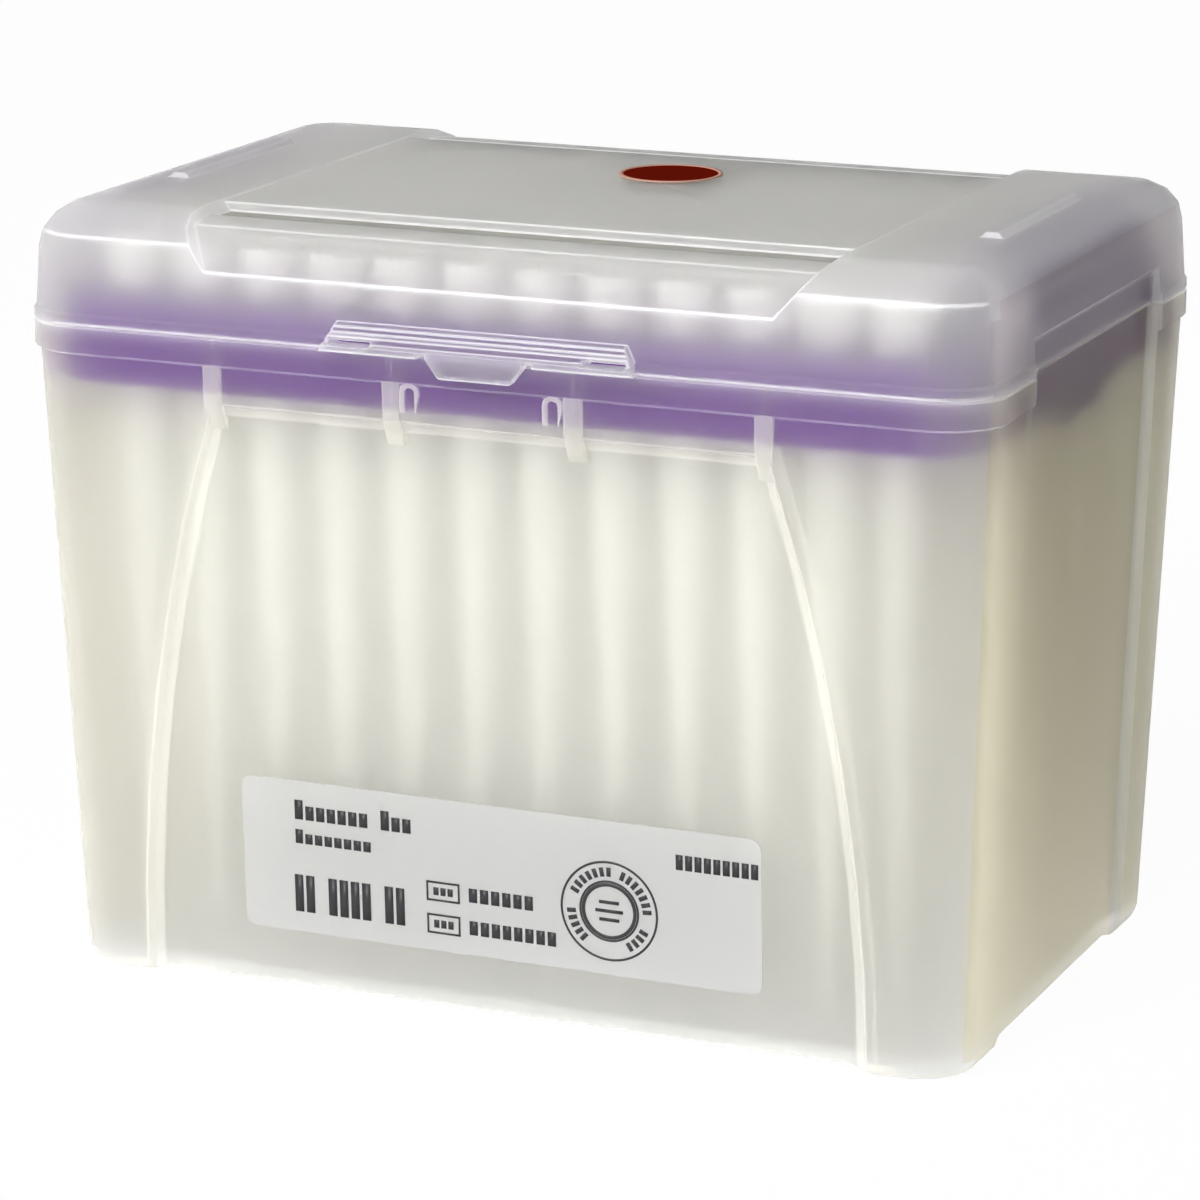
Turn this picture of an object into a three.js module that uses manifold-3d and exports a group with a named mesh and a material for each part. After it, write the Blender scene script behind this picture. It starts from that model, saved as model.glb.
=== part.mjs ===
// A rack box for pipette tips: a drafted base, a clamshell lid hinged along the back with a snap latch in
// front, and a tray that carries the tips on a fixed spacing. Millimetres, +Z up, +X along the long front,
// -Y towards the front. The origin is the middle of the footprint, at the level the feet stand on.

import * as THREE from "three";
import { mergeVertices } from "three/addons/utils/BufferGeometryUtils.js";
import Module from "manifold-3d";

const wasm = await Module();
wasm.setup();

// ---- Driving dimensions ----

// Tips and their spacing
const pitch = 9;
const columns = 12;
const rows = 8;
const tipLength = 88.5;
const collarHeight = 6.5;
const collarRadius = 4;
const mouthRadius = 3.3;
const shankRadius = 3.65;
const tipEndRadius = 0.65;
const orificeRadius = 0.4;

// Walls and running gaps
const wall = 1.2;
const fit = 0.3;
const skirtGap = 0.5;
const tipFloorGap = 1.8;
const headroom = 2.7;

// Base
const endMargin = 13.25;
const sideMargin = 9.5;
const cornerRadius = 8;
const draft = 3.3;
const footHeight = 1;
const footLength = 14;
const footDepth = 15.6;
const footRamp = 3.6;
const footEdge = 2;
const rimBand = 3;
const rimProud = 0.4;
const plateOverRim = 3.5;

// Sunk panel with an arched outline, front and back
const panelDepth = 1.4;
const panelSlope = 1.6;
const panelTopHalf = 34.6;
const panelFootHalf = 46.2;
const ledgeDrop = 8;

// Sunk grip in each end wall, carried on into the lid
const gripDepth = 1.2;
const gripHalf = 24;
const gripInLid = 3.6;

// Ribs that centre the tray, and the two moulded loops beside the latch
const ribWidth = 2.2;
const ribInner = 11.7;
const ribOuter = 35.5;
const endRibReach = 1.8;
const loopOffset = 9.2;
const loopWidth = 2.6;
const loopHeight = 3.6;
const loopLine = 0.6;

// Tray
const plateThickness = 1.6;
const skirtWall = 1.2;
const skirtOverLedge = 0.9;
const skirtEdge = 1.5;
const handleHeight = 7.5;
const handleHalf = 24.5;
const tabDrop = 2.5;
const tabHalf = 8;

// Lid
const lidEdge = 5.2;
const lidEdgeRun = 9.2;
const lidDraft = 0.5;
const beadHeight = 1.2;
const beadProud = 0.3;
const endBlockRise = 0.2;
const scoopFootHalf = 36;
const endSlope = 0.8;
const scoopHeight = 6.6;
const scoopRun = 5.2;
const bevelRun = 4.65;
const bevelRise = 0.4;
const grooveWidth = 4.8;
const grooveDepth = 1.2;
const railHalf = 14.5;
const railWidth = 3;
const railRise = 0.7;
const railInset = 9.25;

// Latch on the lid's front and hinge on its back, which stand out by the same amount
const overhang = 1.8;
const lipHalf = 20.2;
const lipHeight = 3.3;
const lipSteps = 3;
const lipRamp = 1.6;
const tongueHalf = 6.2;
const tongueTaper = 1.7;
const tongueDrop = 2.2;
const slotWidth = 5.4;
const slotHeight = 0.7;
const slotInset = 1.2;
const notchWidth = 1.2;
const notchHeight = 0.6;
const hingeOffset = 30;
const earWidth = 2.5;
const barrelWidth = 6.9;
const pinRadius = 0.8;
const webReach = 6;

// Film label and indicator dot
const filmThickness = 0.15;
const filmGap = 0.1;
const labelHalf = 34.3;
const labelFoot = 8;
const labelHeight = 19.5;
const labelCorner = 1.5;
const dotRadius = 6;
const dotX = 2;
const dotY = 12;

// ---- Levels and half sizes worked out from them ----

const halfX = ((columns - 1) * pitch) / 2 + endMargin;
const halfY = ((rows - 1) * pitch) / 2 + sideMargin;
const floorTop = footHeight + wall;
const tipEnd = floorTop + tipFloorGap;
const tipTop = tipEnd + tipLength;
const plateTop = tipTop - collarHeight;
const rim = plateTop - plateOverRim;
const ledge = rim - ledgeDrop;
const topPlate = tipTop + headroom + wall;
const lidTop = topPlate + endBlockRise;
const lean = (draft - rimProud) / rim;
const leanAngle = Math.atan(lean);
const skirtBottom = ledge + skirtOverLedge;
const skirtX = wallAt(halfX, skirtBottom) - gripDepth - wall - skirtGap;
const skirtY = halfY - overhang - 2 * fit;

// ---- Making and joining solids ----

const beyond = 40;
const cornerSteps = 3;
const roundSteps = 3;
const plugGrowth = 0.75;

// The solid inside a closed geometry.
function solid(geometry) {
  const bare = new THREE.BufferGeometry();
  bare.setAttribute("position", geometry.getAttribute("position"));
  bare.setIndex(geometry.getIndex());
  const merged = mergeVertices(bare, 1e-4);
  const vertProperties = new Float32Array(merged.getAttribute("position").array);
  const triVerts = new Uint32Array(merged.getIndex().array);
  return new wasm.Manifold(new wasm.Mesh({ numProp: 3, vertProperties, triVerts }));
}

// The named mesh of a finished solid.
function piece(name, body, colour, roughness) {
  const cut = body.getMesh();
  const geometry = new THREE.BufferGeometry();
  geometry.setAttribute("position", new THREE.BufferAttribute(cut.vertProperties, 3));
  geometry.setIndex(new THREE.BufferAttribute(cut.triVerts, 1));
  geometry.computeVertexNormals();
  const material = new THREE.MeshStandardMaterial({ color: colour, roughness, metalness: 0 });
  const mesh = new THREE.Mesh(geometry, material);
  mesh.name = name;
  return mesh;
}

function join(bodies) {
  return bodies.reduce((whole, body) => whole.add(body));
}

// A rectangle with round corners, as a closed shape centred on the origin.
function roundedRectangle(x, y, radius) {
  const shape = new THREE.Shape();
  shape.absarc(x - radius, y - radius, radius, 0, Math.PI / 2);
  shape.absarc(radius - x, y - radius, radius, Math.PI / 2, Math.PI);
  shape.absarc(radius - x, radius - y, radius, Math.PI, Math.PI * 1.5);
  shape.absarc(x - radius, radius - y, radius, Math.PI * 1.5, Math.PI * 2);
  return shape;
}

// A solid through level rounded rectangles, each given as { z, x, y, radius }, from the lowest up.
function loft(sections) {
  const rings = sections.map(({ z, x, y, radius }) => {
    const points = roundedRectangle(x, y, radius).getPoints(cornerSteps);
    points.pop();
    return points.map((point) => new THREE.Vector3(point.x, point.y, z));
  });
  const count = rings[0].length;
  const positions = rings.flat().flatMap((point) => point.toArray());
  const faces = [];
  for (let ring = 0; ring < rings.length - 1; ring += 1) {
    for (let i = 0; i < count; i += 1) {
      const a = ring * count + i;
      const b = ring * count + ((i + 1) % count);
      faces.push(a, b, b + count, a, b + count, a + count);
    }
  }
  const last = (rings.length - 1) * count;
  const cap = THREE.ShapeUtils.triangulateShape(rings[0].map((p) => new THREE.Vector2(p.x, p.y)), []);
  for (const [a, b, c] of cap) {
    faces.push(a, c, b, last + a, last + b, last + c);
  }
  const geometry = new THREE.BufferGeometry();
  geometry.setAttribute("position", new THREE.Float32BufferAttribute(positions, 3));
  geometry.setIndex(faces);
  return solid(geometry);
}

function polygon(points) {
  return new THREE.Shape(points.map(([x, y]) => new THREE.Vector2(x, y)));
}

// A shape in (x, z), run along Y from y0 to y1.
function alongY(shape, y0, y1) {
  const run = { depth: y1 - y0, bevelEnabled: false, curveSegments: 8 };
  const geometry = new THREE.ExtrudeGeometry(shape, run);
  geometry.rotateX(Math.PI / 2);
  geometry.translate(0, y1, 0);
  return solid(geometry);
}

// A shape in (y, z), run along X from x0 to x1.
function alongX(shape, x0, x1) {
  const run = { depth: x1 - x0, bevelEnabled: false, curveSegments: 8 };
  const geometry = new THREE.ExtrudeGeometry(shape, run);
  geometry.rotateX(Math.PI / 2);
  geometry.rotateZ(Math.PI / 2);
  geometry.translate(x0, 0, 0);
  return solid(geometry);
}

// A round bar about the line along X at (y, z).
function barX(radius, x0, x1, y, z, segments = 16) {
  const geometry = new THREE.CylinderGeometry(radius, radius, x1 - x0, segments);
  geometry.rotateZ(Math.PI / 2);
  geometry.translate((x0 + x1) / 2, y, z);
  return solid(geometry);
}

// A plug whose inner end has the shape's own outline and whose sides slope out to it, pointing out of a
// wall that leans outwards. The shape lies in the wall's plane; reach is how far its inner end stands from
// the middle plane at floor level; turn is 0 for the front wall and goes round in quarter turns.
function wallPlug(shape, reach, slopeDepth, slopeSize, lengthOut, turn) {
  const geometry = new THREE.ExtrudeGeometry(shape, {
    depth: lengthOut,
    bevelThickness: slopeDepth,
    bevelSize: slopeSize,
    bevelSegments: 2,
    curveSegments: 3,
  });
  geometry.translate(0, 0, slopeDepth);
  geometry.rotateX(Math.PI / 2 + leanAngle);
  geometry.translate(0, -reach, 0);
  geometry.rotateZ((turn * Math.PI) / 2);
  return solid(geometry);
}

// ---- Base ----

// How far the base's outer wall stands from the middle plane at height z, given its half size at the rim.
function wallAt(half, z) {
  return half - draft + lean * z;
}

function wallSection(z, inset) {
  return { z, x: wallAt(halfX, z) - inset, y: wallAt(halfY, z) - inset, radius: cornerRadius - inset };
}

function baseHull() {
  const sections = [];
  for (let i = 0; i <= roundSteps; i += 1) {
    const angle = (i / roundSteps) * (Math.PI / 2);
    sections.push(wallSection(footEdge * (1 - Math.cos(angle)), footEdge * (1 - Math.sin(angle))));
  }
  const top = rim - fit / 2;
  sections.push(wallSection(top - rimBand - rimProud, 0));
  sections.push({ z: top - rimBand, x: halfX, y: halfY, radius: cornerRadius });
  sections.push({ z: top, x: halfX, y: halfY, radius: cornerRadius });
  return loft(sections);
}

function baseWell() {
  const edge = wall / 2;
  return loft([
    wallSection(floorTop, wall + edge),
    wallSection(floorTop + edge, wall),
    wallSection(rim + fit, wall),
  ]);
}

// The outline of the sunk panel: upright at the feet, bowing in to the ledge. grow widens it all round.
function archOutline(grow) {
  const foot = panelFootHalf + grow;
  const top = panelTopHalf + grow;
  const rise = ledge - panelSlope + grow;
  const bow = (rise ** 2 + (foot - top) ** 2) / (2 * (foot - top));
  const sweep = Math.asin(rise / bow);
  const shape = new THREE.Shape();
  shape.moveTo(-foot, -beyond);
  shape.lineTo(foot, -beyond);
  shape.absarc(foot - bow, 0, bow, 0, sweep);
  shape.absarc(bow - foot, 0, bow, Math.PI - sweep, Math.PI);
  return shape;
}

// The outline of the sunk grip, from below the feet up to top.
function gripOutline(top, grow) {
  const half = gripHalf - gripDepth + grow;
  return polygon([[-half, -beyond], [half, -beyond], [half, top + grow], [-half, top + grow]]);
}

// What the panels take off the outside, or with a wall's thickness added, what they keep from the well.
function panelPlugs(thickness) {
  const outline = archOutline(thickness * plugGrowth);
  const reach = halfY - draft - panelDepth - thickness;
  return join([0, 2].map((turn) => wallPlug(outline, reach, panelDepth, panelSlope, beyond, turn)));
}

function gripPlugs(top, thickness) {
  const outline = gripOutline(top, thickness * plugGrowth);
  const reach = halfX - draft - gripDepth - thickness;
  return join([1, 3].map((turn) => wallPlug(outline, reach, gripDepth, gripDepth, beyond, turn)));
}

// The raised middle of the underside, which leaves a foot at each corner.
function footCuts() {
  const flatX = halfX - draft - footLength;
  const flatY = halfY - draft - footDepth - footRamp / 2;
  const ramp = (flat) => {
    const low = flat + footRamp * 2;
    return polygon([[-low, -footHeight], [low, -footHeight], [flat, footHeight], [-flat, footHeight]]);
  };
  return alongY(ramp(flatX), -beyond - halfY, beyond + halfY)
    .add(alongX(ramp(flatY), -beyond - halfX, beyond + halfX));
}

// A centring rib on the long wall at x: a low ridge outside that runs down over the ledge, and a fin inside
// with a seat that the tray's skirt stands on.
function trayRib(x, side) {
  const top = rim - fit / 2 - rimBand;
  const face = (z) => wallAt(halfY, z);
  const outside = polygon([
    [-face(top) + wall / 2, top + rimProud],
    [-face(top) - rimProud, top],
    [-face(ledge) - rimProud, ledge],
    [-face(ledge) + panelDepth - rimProud, ledge - 2 * panelSlope],
    [-face(ledge) + panelDepth + wall / 2, ledge - 2 * panelSlope],
    [-face(ledge) + wall / 2, ledge],
  ]);
  const seat = skirtBottom - fit;
  const inside = polygon([
    [-face(top) + wall / 2, rim - fit],
    [-face(top) + wall / 2, ledge],
    [-face(ledge) + panelDepth + wall, ledge - 2 * panelSlope],
    [-skirtY + skirtWall, seat - panelSlope],
    [-skirtY + skirtWall, seat],
    [-skirtY - fit, seat],
    [-skirtY - fit, rim - fit],
  ]);
  const rib = alongX(outside, x - ribWidth / 2, x + ribWidth / 2)
    .add(alongX(inside, x - ribWidth / 4, x + ribWidth / 4));
  return side < 0 ? rib : rib.mirror([0, 1, 0]);
}

// The upright rib inside each end wall, under the tab of the tray's skirt.
function endRib(side) {
  const inner = (z) => wallAt(halfX, z) - gripDepth - wall;
  const foot = floorTop - wall / 2;
  const top = skirtBottom - tabDrop - fit;
  const shape = polygon([
    [inner(foot) + wall / 2, foot],
    [inner(foot) - endRibReach, foot],
    [inner(top) - endRibReach, top],
    [inner(top) + wall / 2, top],
  ]);
  const rib = alongY(shape, -wall / 2, wall / 2);
  return side > 0 ? rib : rib.mirror([1, 0, 0]);
}

// A shape standing on the front wall with its own origin at (x, z), from sunk below the face to proud of it.
function onFront(shape, x, z, sunk, proud) {
  const geometry = new THREE.ExtrudeGeometry(shape, {
    depth: sunk + proud,
    bevelEnabled: false,
    curveSegments: 4,
  });
  geometry.translate(0, 0, -sunk);
  geometry.rotateX(Math.PI / 2 + leanAngle);
  geometry.translate(x, -wallAt(halfY, z), z);
  return solid(geometry);
}

// The moulded loops: a raised line shaped like an upturned U on each side of the latch.
function frontLoops() {
  const outer = loopWidth / 2;
  const inner = outer - loopLine;
  const spring = loopHeight - outer;
  const shape = new THREE.Shape();
  shape.moveTo(outer, 0);
  shape.absarc(0, spring, outer, 0, Math.PI);
  shape.lineTo(-outer, 0);
  shape.lineTo(-inner, 0);
  shape.absarc(0, spring, inner, Math.PI, 0, true);
  shape.lineTo(inner, 0);
  const foot = rim - fit / 2 - rimBand - loopHeight;
  return join([-1, 1].map((side) => onFront(shape, side * loopOffset, foot, wall / 2, rimProud)));
}

// The two ears of a hinge and the web that carries each, centred on x.
function hingeEars(x) {
  const foot = rim - webReach;
  const face = wallAt(halfY, foot);
  const web = polygon([
    [halfY - rimProud - wall / 2, rim],
    [face - wall / 2, foot],
    [face - wall / 4, foot],
    [halfY + overhang, rim],
  ]);
  const near = barrelWidth / 2 + fit;
  return join([-near - earWidth, near].map((start) => {
    const [x0, x1] = [x + start, x + start + earWidth];
    return barX(overhang, x0, x1, halfY, rim).add(alongX(web, x0, x1));
  }));
}

function base() {
  const well = baseWell()
    .subtract(panelPlugs(wall))
    .subtract(gripPlugs(rim + beyond, wall));
  let body = baseHull()
    .subtract(panelPlugs(0))
    .subtract(gripPlugs(rim + beyond, 0))
    .subtract(footCuts())
    .subtract(well);
  for (const side of [-1, 1]) {
    for (const x of [-ribOuter, -ribInner, ribInner, ribOuter]) {
      body = body.add(trayRib(x, side));
    }
    body = body.add(endRib(side));
    const hinge = side * hingeOffset;
    const clear = barrelWidth / 2 + fit;
    const bored = clear + earWidth + fit;
    body = body
      .subtract(barX(overhang + fit, hinge - clear, hinge + clear, halfY, rim))
      .add(hingeEars(hinge))
      .subtract(barX(pinRadius + fit, hinge - bored, hinge + bored, halfY, rim));
  }
  return body.add(frontLoops());
}

// ---- Tray with its tips ----

function skirtSection(z, inset) {
  return { z, x: skirtX - inset, y: skirtY - inset, radius: cornerRadius - wall - inset };
}

function trayShell() {
  const sections = [skirtSection(skirtBottom, 0)];
  for (let i = 0; i <= roundSteps; i += 1) {
    const angle = (i / roundSteps) * (Math.PI / 2);
    const z = plateTop - skirtEdge * (1 - Math.sin(angle));
    sections.push(skirtSection(z, skirtEdge * (1 - Math.cos(angle))));
  }
  const under = loft([
    skirtSection(skirtBottom - wall, skirtWall),
    skirtSection(plateTop - plateThickness, skirtWall),
  ]);
  return loft(sections).subtract(under);
}

// The wall that stands up at each end to lift the tray by, and the tab that hangs below the skirt there.
function trayEnds() {
  const handle = polygon([
    [-handleHalf, plateTop - plateThickness],
    [handleHalf, plateTop - plateThickness],
    [handleHalf - skirtEdge, plateTop + handleHeight],
    [skirtEdge - handleHalf, plateTop + handleHeight],
  ]);
  const tab = polygon([
    [-tabHalf, skirtBottom - tabDrop],
    [tabHalf, skirtBottom - tabDrop],
    [tabHalf + 2 * tabDrop, skirtBottom + skirtWall],
    [-tabHalf - 2 * tabDrop, skirtBottom + skirtWall],
  ]);
  const right = join([handle, tab].map((shape) => alongX(shape, skirtX - skirtWall, skirtX)));
  return right.add(right.mirror([1, 0, 0]));
}

// One tip, or its bore: a lathe profile about the tip's own axis, from the axis out and back to it.
function turned(profile, x, y) {
  const tipSides = 8;
  const geometry = new THREE.LatheGeometry(profile.map(([r, z]) => new THREE.Vector2(r, z)), tipSides);
  geometry.rotateX(Math.PI / 2);
  geometry.rotateZ(Math.PI / tipSides);
  geometry.translate(x, y, 0);
  return solid(geometry);
}

function tipOutside(x, y) {
  const inPlate = plateTop - plateThickness / 2;
  const profile = [
    [0, tipEnd],
    [tipEndRadius, tipEnd],
    [shankRadius, inPlate],
    [collarRadius, inPlate],
    [collarRadius, tipTop],
    [0, tipTop],
  ];
  return turned(profile, x, y);
}

function tipBore(x, y) {
  const profile = [
    [0, tipEnd - fit],
    [orificeRadius, tipEnd - fit],
    [mouthRadius, tipTop + fit],
    [0, tipTop + fit],
  ];
  return turned(profile, x, y);
}

function tray() {
  const places = [];
  for (let column = 0; column < columns; column += 1) {
    for (let row = 0; row < rows; row += 1) {
      places.push([(column - (columns - 1) / 2) * pitch, (row - (rows - 1) / 2) * pitch]);
    }
  }
  const body = trayShell().add(trayEnds());
  const tips = join(places.map(([x, y]) => tipOutside(x, y)));
  const bores = join(places.map(([x, y]) => tipBore(x, y)));
  return body.add(tips).subtract(bores);
}

// ---- Lid ----

const lidFoot = rim + fit / 2;
const scoopFoot = lidTop - scoopHeight;
const lidFace = halfY - beadProud;

function lidSection(z, inset, insetY = inset) {
  return { z, x: halfX - inset, y: halfY - insetY, radius: cornerRadius - inset };
}

// The lid's outer form, or with a wall's thickness taken off, the room inside it.
function lidForm(thickness) {
  const bead = thickness > 0 ? beadProud : 0;
  const [edge, run] = [lidEdge - thickness, lidEdgeRun - thickness];
  const crown = lidTop - thickness;
  const straight = beadProud + lidDraft + thickness;
  const sections = [
    lidSection(thickness > 0 ? lidFoot - fit : lidFoot, bead + thickness),
    lidSection(lidFoot + beadHeight, bead + thickness),
    lidSection(lidFoot + beadHeight + beadProud, beadProud + thickness),
  ];
  for (let i = 0; i <= roundSteps + 1; i += 1) {
    const angle = (i / (roundSteps + 1)) * (Math.PI / 2);
    const across = 1 - Math.cos(angle);
    const z = crown - edge * (1 - Math.sin(angle));
    sections.push(lidSection(z, straight + edge * across, straight + run * across));
  }
  return loft(sections);
}

// Half of the outline, in (y, z), of what is taken off the lid's top between the end blocks: a scoop with a
// sloping face, a bevel, a groove and the flat top plate.
function topOutline() {
  const crease = [scoopRun - lidFace, scoopFoot + scoopRun];
  const lip = [crease[0] + bevelRun, crease[1] + bevelRise];
  return [
    [-lidFace - beyond, scoopFoot],
    [-lidFace, scoopFoot],
    crease,
    lip,
    [lip[0], topPlate - grooveDepth],
    [lip[0] + grooveWidth, topPlate - grooveDepth],
    [lip[0] + grooveWidth, topPlate],
  ];
}

// The same outline a wall's thickness further in, which the room inside stays under.
function ceilingOutline() {
  const drop = wall * Math.SQRT2;
  const ceiling = topPlate - grooveDepth - wall;
  const plateEdge = scoopRun - lidFace + bevelRun + grooveWidth + wall;
  return [
    [-lidFace - beyond, scoopFoot - drop],
    [-lidFace, scoopFoot - drop],
    [-lidFace + ceiling - scoopFoot + drop, ceiling],
    [plateEdge, ceiling],
    [plateEdge, topPlate - wall],
  ];
}

// The block above such an outline, mirrored to the back, with ends that slope out as they rise.
function topBlock(half, grow) {
  const back = half.map(([y, z]) => [-y, z]).reverse();
  const high = lidTop + beyond;
  const sky = [[lidFace + beyond, high], [-lidFace - beyond, high]];
  const spread = endSlope * (beyond + lidTop - scoopFoot);
  const low = scoopFootHalf + grow - endSlope * beyond;
  const ends = polygon([
    [-low, scoopFoot - beyond],
    [low, scoopFoot - beyond],
    [scoopFootHalf + grow + spread, high],
    [-scoopFootHalf - grow - spread, high],
  ]);
  return alongX(polygon([...half, ...back, ...sky]), -halfX, halfX)
    .intersect(alongY(ends, -halfY - 2 * beyond, halfY + 2 * beyond));
}

// A rail on each end block, for a rack stacked on top.
function topRails() {
  const middle = halfX - railInset;
  const foot = railWidth / 2;
  const crest = foot - railRise;
  const rail = polygon([
    [middle - foot, lidTop - wall],
    [middle + foot, lidTop - wall],
    [middle + foot, lidTop],
    [middle + crest, lidTop + railRise],
    [middle - crest, lidTop + railRise],
    [middle - foot, lidTop],
  ]);
  const right = alongY(rail, -railHalf, railHalf);
  return right.add(right.mirror([1, 0, 0]));
}

// A stepped finger lip along the front edge, wider at its foot, with a tongue that hangs over the base.
function latch() {
  const step = lipHeight / lipSteps;
  const out = overhang / lipSteps;
  const steps = [[wall / 2 - lidFace, lidFoot], [-halfY - overhang, lidFoot]];
  for (let i = 0; i < lipSteps; i += 1) {
    const reach = halfY + overhang - i * out;
    steps.push([-reach, lidFoot + (i + 1) * step - fit], [out - reach, lidFoot + (i + 1) * step]);
  }
  steps.push([wall / 2 - lidFace, lidFoot + lipHeight]);
  const ends = polygon([
    [-lipHalf, lidFoot],
    [lipHalf, lidFoot],
    [lipHalf - lipRamp, lidFoot + lipHeight],
    [lipRamp - lipHalf, lidFoot + lipHeight],
  ]);
  const lip = alongX(polygon(steps), -lipHalf, lipHalf).intersect(alongY(ends, -halfY - beyond, 0));
  const tongue = polygon([
    [tongueTaper - tongueHalf, lidFoot - tongueDrop],
    [tongueHalf - tongueTaper, lidFoot - tongueDrop],
    [tongueHalf, lidFoot],
    [tongueHalf, lidFoot + step / 2],
    [-tongueHalf, lidFoot + step / 2],
    [-tongueHalf, lidFoot],
  ]);
  return lip.add(alongY(tongue, -halfY - overhang, -halfY - fit));
}

// The slots that free the lip's two ends, and the small notches beside the tongue's root.
function latchCuts() {
  const rectangle = (x0, x1, z0, z1) => polygon([[x0, z0], [x1, z0], [x1, z1], [x0, z1]]);
  const slotEnd = lipHalf - slotInset;
  const slotFoot = lidFoot + slotHeight;
  const slot = rectangle(slotEnd - slotWidth, slotEnd, slotFoot, slotFoot + slotHeight);
  const notch = rectangle(tongueHalf, tongueHalf + notchWidth, lidFoot - notchHeight, lidFoot + notchHeight);
  const right = alongY(slot, -halfY - beyond, -lidFace + 2 * wall)
    .add(alongY(notch, -halfY - beyond, -halfY));
  return right.add(right.mirror([1, 0, 0]));
}

// The barrel of a hinge with its pin and the web that carries it, centred on x.
function hingeBarrel(x) {
  const top = rim + webReach;
  const web = polygon([
    [lidFace - wall / 2, rim],
    [halfY + overhang, rim],
    [lidFace - wall / 4, top],
    [lidFace - wall / 2, top],
  ]);
  const half = barrelWidth / 2;
  const pin = half + fit + earWidth;
  return barX(overhang, x - half, x + half, halfY, rim)
    .add(alongX(web, x - half, x + half))
    .add(barX(pinRadius, x - pin, x + pin, halfY, rim));
}

function lid() {
  const grip = gripPlugs(rim + gripInLid, 0);
  const gripInside = gripPlugs(rim + gripInLid, wall);
  const room = lidForm(wall)
    .subtract(topBlock(ceilingOutline(), wall))
    .subtract(gripInside);
  let body = lidForm(0)
    .subtract(topBlock(topOutline(), 0))
    .subtract(grip)
    .add(topRails())
    .subtract(room)
    .add(latch())
    .subtract(latchCuts());
  for (const side of [-1, 1]) {
    const hinge = side * hingeOffset;
    const clear = barrelWidth / 2 + earWidth + 2 * fit;
    body = body
      .subtract(barX(overhang + fit, hinge - clear, hinge + clear, halfY, rim))
      .add(hingeBarrel(hinge));
  }
  return body;
}

// ---- Label and dot ----

function frontLabel() {
  const shape = roundedRectangle(labelHalf, labelHeight / 2, labelCorner);
  const face = -panelDepth + filmGap;
  return onFront(shape, 0, labelFoot + labelHeight / 2, -face, face + filmThickness);
}

function indicatorDot() {
  const geometry = new THREE.CylinderGeometry(dotRadius, dotRadius, filmThickness, 32);
  geometry.rotateX(Math.PI / 2);
  geometry.translate(dotX, dotY, topPlate + filmGap + filmThickness / 2);
  return solid(geometry);
}

// ---- The whole box ----

const group = new THREE.Group();
group.add(
  piece("box_base", base(), 0xdedecf, 0.45),
  piece("tip_tray", tray(), 0x9b76b4, 0.5),
  piece("lid", lid(), 0xd4d3d0, 0.4),
  piece("front_label", frontLabel(), 0xe4e4e4, 0.35),
  piece("indicator_dot", indicatorDot(), 0xa01e14, 0.5),
);

export default group;
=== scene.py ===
import math
import bmesh
import bpy
from mathutils import Matrix, Vector
from mathutils.geometry import intersect_point_line


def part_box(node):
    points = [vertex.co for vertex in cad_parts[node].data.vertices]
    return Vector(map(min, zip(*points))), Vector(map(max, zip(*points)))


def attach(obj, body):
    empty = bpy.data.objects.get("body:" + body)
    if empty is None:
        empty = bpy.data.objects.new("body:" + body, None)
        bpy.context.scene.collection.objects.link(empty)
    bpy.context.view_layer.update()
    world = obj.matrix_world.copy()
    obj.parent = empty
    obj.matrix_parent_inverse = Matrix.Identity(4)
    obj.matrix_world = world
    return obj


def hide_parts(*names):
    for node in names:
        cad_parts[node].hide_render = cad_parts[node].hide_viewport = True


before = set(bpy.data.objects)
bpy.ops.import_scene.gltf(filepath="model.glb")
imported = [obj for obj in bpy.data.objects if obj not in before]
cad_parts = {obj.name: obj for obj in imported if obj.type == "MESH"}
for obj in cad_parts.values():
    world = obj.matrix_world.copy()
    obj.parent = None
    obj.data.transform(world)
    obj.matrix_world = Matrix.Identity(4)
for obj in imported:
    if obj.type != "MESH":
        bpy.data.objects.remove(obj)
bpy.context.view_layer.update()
MM = 0.001


# ---- Base ----
# One moulding of natural polypropylene: thin frosted walls that lean outwards, a sunk arched panel in
# front and behind, a sunk grip in each end and a foot at each corner. Every edge is a little soft. A
# whiter, milkier finish paints highlights on the rounded edges, the slopes round the panels and grips,
# the loops and the ribs, and a darker cream finish paints shade on the end walls.

BASE_PALE = (0.97, 0.97, 0.96)
BASE_DEEP = (0.95, 0.95, 0.94)
BASE_ROUGHNESS = 0.85
BASE_CLEARNESS = 0.99
BASE_INDEX = 1.15
BASE_SPREAD = 0.50
# Painted highlight: a whiter, milkier finish for the rounded edges, the slopes round the panels and
# grips, and the loops.
HIGHLIGHT_PALE = (0.98, 0.97, 0.92)
HIGHLIGHT_DEEP = (0.96, 0.95, 0.90)
HIGHLIGHT_CLEARNESS = 0.6
HIGHLIGHT_SPREAD = 0.35
# Painted shade: a darker, yellower finish for both end walls.
END_SHADE_PALE = (0.90, 0.87, 0.75)
END_SHADE_DEEP = (0.87, 0.84, 0.72)
# Painted highlight: a paler, milkier finish for the ribs.
RIB_HIGHLIGHT_CLEARNESS = 0.65
RIB_HIGHLIGHT_SPREAD = 0.42
SKIN_GLOSS = 0.8
SKIN_ROUGHNESS = 0.2
SKIN_INDEX = 1.49
PLASTIC_CLOUDS = 45
PLASTIC_CLOUD_DETAIL = 3
PLASTIC_UNEVENNESS = 0.04
PLASTIC_GRAIN = 700
GRAIN_STRENGTH = 0.1
GRAIN_DEPTH = 0.1 * MM

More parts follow.
